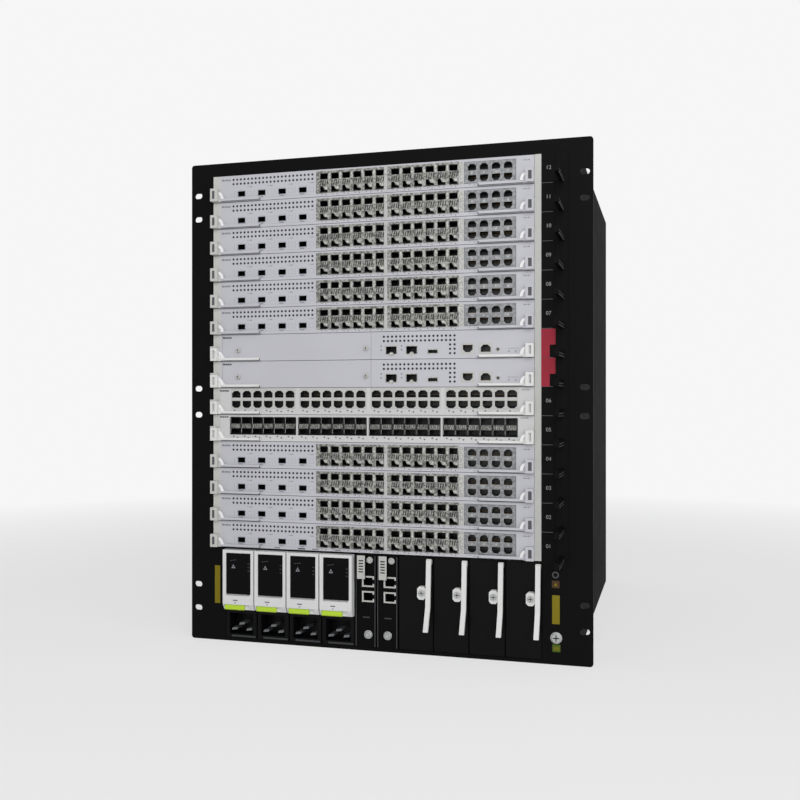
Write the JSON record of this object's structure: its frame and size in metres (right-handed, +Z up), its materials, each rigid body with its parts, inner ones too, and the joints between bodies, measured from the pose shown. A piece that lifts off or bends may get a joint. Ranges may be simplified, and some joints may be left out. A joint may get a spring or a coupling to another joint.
{
  "type": "modular chassis switch",
  "caption": "Rack-mounted modular network switch: a card cage with sliding port cards and ejector levers above bays for power, monitoring and fabric units, with rear fan trays.",
  "frame": {"origin": "the middle of the underside, on the surface that the chassis stands on", "axes": "+Z up, -Y out of the front with the cards, +X to the right seen from the front"},
  "size_m": [0.4826, 0.59, 0.577],
  "materials": {
    "chassis_black": "fine satin powder coat",
    "inner_steel": "plain sheet steel",
    "light_panel": "satin light grey paint",
    "lever_light": "satin moulded plastic",
    "button_grey": "moulded plastic",
    "circuit_board": "green solder mask",
    "power_bezel": "moulded bezel on a black can",
    "latch_green": "moulded plastic",
    "bay_black": "fine satin powder coat",
    "fan_black": "moulded plastic"
  },
  "bodies": {
    "chassis": {"front_plate": "chassis_black", "chassis_shell": "chassis_black", "rear_panel": "chassis_black", "cable_hooks": "chassis_black", "bay_frame": "inner_steel", "card_guide_left": "inner_steel", "card_guide_right": "light_panel", "backplane": "circuit_board"},
    "card_01": {"line_card_01": "light_panel"},
    "card_02": {"line_card_02": "light_panel"},
    "card_03": {"line_card_03": "light_panel"},
    "card_04": {"line_card_04": "light_panel"},
    "card_05": {"fibre_card_05": "light_panel"},
    "card_06": {"copper_card_06": "light_panel"},
    "card_07": {"line_card_07": "light_panel"},
    "card_08": {"line_card_08": "light_panel"},
    "card_09": {"line_card_09": "light_panel"},
    "card_10": {"line_card_10": "light_panel"},
    "card_11": {"line_card_11": "light_panel"},
    "card_12": {"line_card_12": "light_panel"},
    "card_13": {"control_card_13": "light_panel"},
    "card_14": {"control_card_14": "light_panel"},
    "blank_13": {"blank_card_13": "light_panel"},
    "reset_13": {"reset_button_13": "button_grey"},
    "blank_14": {"blank_card_14": "light_panel"},
    "reset_14": {"reset_button_14": "button_grey"},
    "lever_left_05": {"lever_left_05": "lever_light"},
    "lever_right_05": {"lever_right_05": "lever_light"},
    "lever_left_06": {"lever_left_06": "lever_light"},
    "lever_right_06": {"lever_right_06": "lever_light"},
    "lever_left_13": {"lever_left_13": "lever_light"},
    "lever_right_13": {"lever_right_13": "lever_light"},
    "lever_left_14": {"lever_left_14": "lever_light"},
    "lever_right_14": {"lever_right_14": "lever_light"},
    "power_1": {"power_unit_1": "power_bezel"},
    "latch_1": {"power_latch_1": "latch_green"},
    "power_2": {"power_unit_2": "power_bezel"},
    "latch_2": {"power_latch_2": "latch_green"},
    "power_3": {"power_unit_3": "power_bezel"},
    "latch_3": {"power_latch_3": "latch_green"},
    "power_4": {"power_unit_4": "power_bezel"},
    "latch_4": {"power_latch_4": "latch_green"},
    "monitor_1": {"monitoring_unit_1": "bay_black"},
    "monitor_2": {"monitoring_unit_2": "bay_black"},
    "fabric_1": {"fabric_unit_1": "bay_black"},
    "fabric_lever_1": {"fabric_lever_1": "lever_light"},
    "fabric_2": {"fabric_unit_2": "bay_black"},
    "fabric_lever_2": {"fabric_lever_2": "lever_light"},
    "fabric_3": {"fabric_unit_3": "bay_black"},
    "fabric_lever_3": {"fabric_lever_3": "lever_light"},
    "fabric_4": {"fabric_unit_4": "bay_black"},
    "fabric_lever_4": {"fabric_lever_4": "lever_light"},
    "tray_lower": {"fan_tray_lower": "inner_steel"},
    "rotor_1": {"fan_rotor_1": "fan_black"},
    "rotor_2": {"fan_rotor_2": "fan_black"},
    "tray_upper": {"fan_tray_upper": "inner_steel"},
    "rotor_3": {"fan_rotor_3": "fan_black"},
    "rotor_4": {"fan_rotor_4": "fan_black"}
  },
  "joints": [
    {"name": "card_01_slide", "type": "slide", "parent": "chassis", "child": "card_01", "axis": [0, -1, 0], "range_m": [0, 0.4]},
    {"name": "card_02_slide", "type": "slide", "parent": "chassis", "child": "card_02", "axis": [0, -1, 0], "range_m": [0, 0.4]},
    {"name": "card_03_slide", "type": "slide", "parent": "chassis", "child": "card_03", "axis": [0, -1, 0], "range_m": [0, 0.4]},
    {"name": "card_04_slide", "type": "slide", "parent": "chassis", "child": "card_04", "axis": [0, -1, 0], "range_m": [0, 0.4]},
    {"name": "card_05_slide", "type": "slide", "parent": "chassis", "child": "card_05", "axis": [0, -1, 0], "range_m": [0, 0.4]},
    {"name": "card_06_slide", "type": "slide", "parent": "chassis", "child": "card_06", "axis": [0, -1, 0], "range_m": [0, 0.4]},
    {"name": "card_07_slide", "type": "slide", "parent": "chassis", "child": "card_07", "axis": [0, -1, 0], "range_m": [0, 0.4]},
    {"name": "card_08_slide", "type": "slide", "parent": "chassis", "child": "card_08", "axis": [0, -1, 0], "range_m": [0, 0.4]},
    {"name": "card_09_slide", "type": "slide", "parent": "chassis", "child": "card_09", "axis": [0, -1, 0], "range_m": [0, 0.4]},
    {"name": "card_10_slide", "type": "slide", "parent": "chassis", "child": "card_10", "axis": [0, -1, 0], "range_m": [0, 0.4]},
    {"name": "card_11_slide", "type": "slide", "parent": "chassis", "child": "card_11", "axis": [0, -1, 0], "range_m": [0, 0.4]},
    {"name": "card_12_slide", "type": "slide", "parent": "chassis", "child": "card_12", "axis": [0, -1, 0], "range_m": [0, 0.4]},
    {"name": "card_13_slide", "type": "slide", "parent": "chassis", "child": "card_13", "axis": [0, -1, 0], "range_m": [0, 0.4]},
    {"name": "card_14_slide", "type": "slide", "parent": "chassis", "child": "card_14", "axis": [0, -1, 0], "range_m": [0, 0.4]},
    {"name": "blank_13_slide", "type": "slide", "parent": "card_13", "child": "blank_13", "axis": [0, -1, 0], "range_m": [0, 0.15]},
    {"name": "reset_13_push", "type": "slide", "parent": "card_13", "child": "reset_13", "axis": [0, 1, 0], "range_m": [0, 0.0008], "stiffness_N_per_m": 300},
    {"name": "blank_14_slide", "type": "slide", "parent": "card_14", "child": "blank_14", "axis": [0, -1, 0], "range_m": [0, 0.15]},
    {"name": "reset_14_push", "type": "slide", "parent": "card_14", "child": "reset_14", "axis": [0, 1, 0], "range_m": [0, 0.0008], "stiffness_N_per_m": 300},
    {"name": "lever_left_05_turn", "type": "hinge", "parent": "card_05", "child": "lever_left_05", "pos_m": [-0.2084, -0.2645, 0.24106], "axis": [0, 0, -1], "range_deg": [0, 70]},
    {"name": "lever_right_05_turn", "type": "hinge", "parent": "card_05", "child": "lever_right_05", "pos_m": [0.1736, -0.2645, 0.24106], "axis": [0, 0, 1], "range_deg": [0, 70]},
    {"name": "lever_left_06_turn", "type": "hinge", "parent": "card_06", "child": "lever_left_06", "pos_m": [-0.2084, -0.2645, 0.2731], "axis": [0, 0, -1], "range_deg": [0, 70]},
    {"name": "lever_right_06_turn", "type": "hinge", "parent": "card_06", "child": "lever_right_06", "pos_m": [0.1736, -0.2645, 0.2731], "axis": [0, 0, 1], "range_deg": [0, 70]},
    {"name": "lever_left_13_turn", "type": "hinge", "parent": "card_13", "child": "lever_left_13", "pos_m": [-0.2084, -0.2645, 0.33718], "axis": [0, 0, -1], "range_deg": [0, 70]},
    {"name": "lever_right_13_turn", "type": "hinge", "parent": "card_13", "child": "lever_right_13", "pos_m": [0.1736, -0.2645, 0.33718], "axis": [0, 0, 1], "range_deg": [0, 70]},
    {"name": "lever_left_14_turn", "type": "hinge", "parent": "card_14", "child": "lever_left_14", "pos_m": [-0.2084, -0.2645, 0.30514], "axis": [0, 0, -1], "range_deg": [0, 70]},
    {"name": "lever_right_14_turn", "type": "hinge", "parent": "card_14", "child": "lever_right_14", "pos_m": [0.1736, -0.2645, 0.30514], "axis": [0, 0, 1], "range_deg": [0, 70]},
    {"name": "power_1_slide", "type": "slide", "parent": "chassis", "child": "power_1", "axis": [0, -1, 0], "range_m": [0, 0.4]},
    {"name": "latch_1_slide", "type": "slide", "parent": "power_1", "child": "latch_1", "axis": [1, 0, 0], "range_m": [0, 0.006], "stiffness_N_per_m": 150},
    {"name": "power_2_slide", "type": "slide", "parent": "chassis", "child": "power_2", "axis": [0, -1, 0], "range_m": [0, 0.4]},
    {"name": "latch_2_slide", "type": "slide", "parent": "power_2", "child": "latch_2", "axis": [1, 0, 0], "range_m": [0, 0.006], "stiffness_N_per_m": 150},
    {"name": "power_3_slide", "type": "slide", "parent": "chassis", "child": "power_3", "axis": [0, -1, 0], "range_m": [0, 0.4]},
    {"name": "latch_3_slide", "type": "slide", "parent": "power_3", "child": "latch_3", "axis": [1, 0, 0], "range_m": [0, 0.006], "stiffness_N_per_m": 150},
    {"name": "power_4_slide", "type": "slide", "parent": "chassis", "child": "power_4", "axis": [0, -1, 0], "range_m": [0, 0.4]},
    {"name": "latch_4_slide", "type": "slide", "parent": "power_4", "child": "latch_4", "axis": [1, 0, 0], "range_m": [0, 0.006], "stiffness_N_per_m": 150},
    {"name": "monitor_1_slide", "type": "slide", "parent": "chassis", "child": "monitor_1", "axis": [0, -1, 0], "range_m": [0, 0.4]},
    {"name": "monitor_2_slide", "type": "slide", "parent": "chassis", "child": "monitor_2", "axis": [0, -1, 0], "range_m": [0, 0.4]},
    {"name": "fabric_1_slide", "type": "slide", "parent": "chassis", "child": "fabric_1", "axis": [0, -1, 0], "range_m": [0, 0.4]},
    {"name": "fabric_lever_1_turn", "type": "hinge", "parent": "fabric_1", "child": "fabric_lever_1", "pos_m": [0.0557, -0.2632, 0.1067], "axis": [-1, 0, 0], "range_deg": [0, 55]},
    {"name": "fabric_2_slide", "type": "slide", "parent": "chassis", "child": "fabric_2", "axis": [0, -1, 0], "range_m": [0, 0.4]},
    {"name": "fabric_lever_2_turn", "type": "hinge", "parent": "fabric_2", "child": "fabric_lever_2", "pos_m": [0.0969, -0.2632, 0.1067], "axis": [-1, 0, 0], "range_deg": [0, 55]},
    {"name": "fabric_3_slide", "type": "slide", "parent": "chassis", "child": "fabric_3", "axis": [0, -1, 0], "range_m": [0, 0.4]},
    {"name": "fabric_lever_3_turn", "type": "hinge", "parent": "fabric_3", "child": "fabric_lever_3", "pos_m": [0.1381, -0.2632, 0.1067], "axis": [-1, 0, 0], "range_deg": [0, 55]},
    {"name": "fabric_4_slide", "type": "slide", "parent": "chassis", "child": "fabric_4", "axis": [0, -1, 0], "range_m": [0, 0.4]},
    {"name": "fabric_lever_4_turn", "type": "hinge", "parent": "fabric_4", "child": "fabric_lever_4", "pos_m": [0.1793, -0.2632, 0.1067], "axis": [-1, 0, 0], "range_deg": [0, 55]},
    {"name": "tray_lower_slide", "type": "slide", "parent": "chassis", "child": "tray_lower", "axis": [0, 1, 0], "range_m": [0, 0.1]},
    {"name": "rotor_1_spin", "type": "hinge", "parent": "tray_lower", "child": "rotor_1", "pos_m": [-0.1075, 0.2322, 0.178], "axis": [0, 1, 0], "continuous": true},
    {"name": "rotor_2_spin", "type": "hinge", "parent": "tray_lower", "child": "rotor_2", "pos_m": [0.1075, 0.2322, 0.178], "axis": [0, 1, 0], "continuous": true},
    {"name": "tray_upper_slide", "type": "slide", "parent": "chassis", "child": "tray_upper", "axis": [0, 1, 0], "range_m": [0, 0.1]},
    {"name": "rotor_3_spin", "type": "hinge", "parent": "tray_upper", "child": "rotor_3", "pos_m": [-0.1075, 0.2322, 0.399], "axis": [0, 1, 0], "continuous": true},
    {"name": "rotor_4_spin", "type": "hinge", "parent": "tray_upper", "child": "rotor_4", "pos_m": [0.1075, 0.2322, 0.399], "axis": [0, 1, 0], "continuous": true}
  ]
}
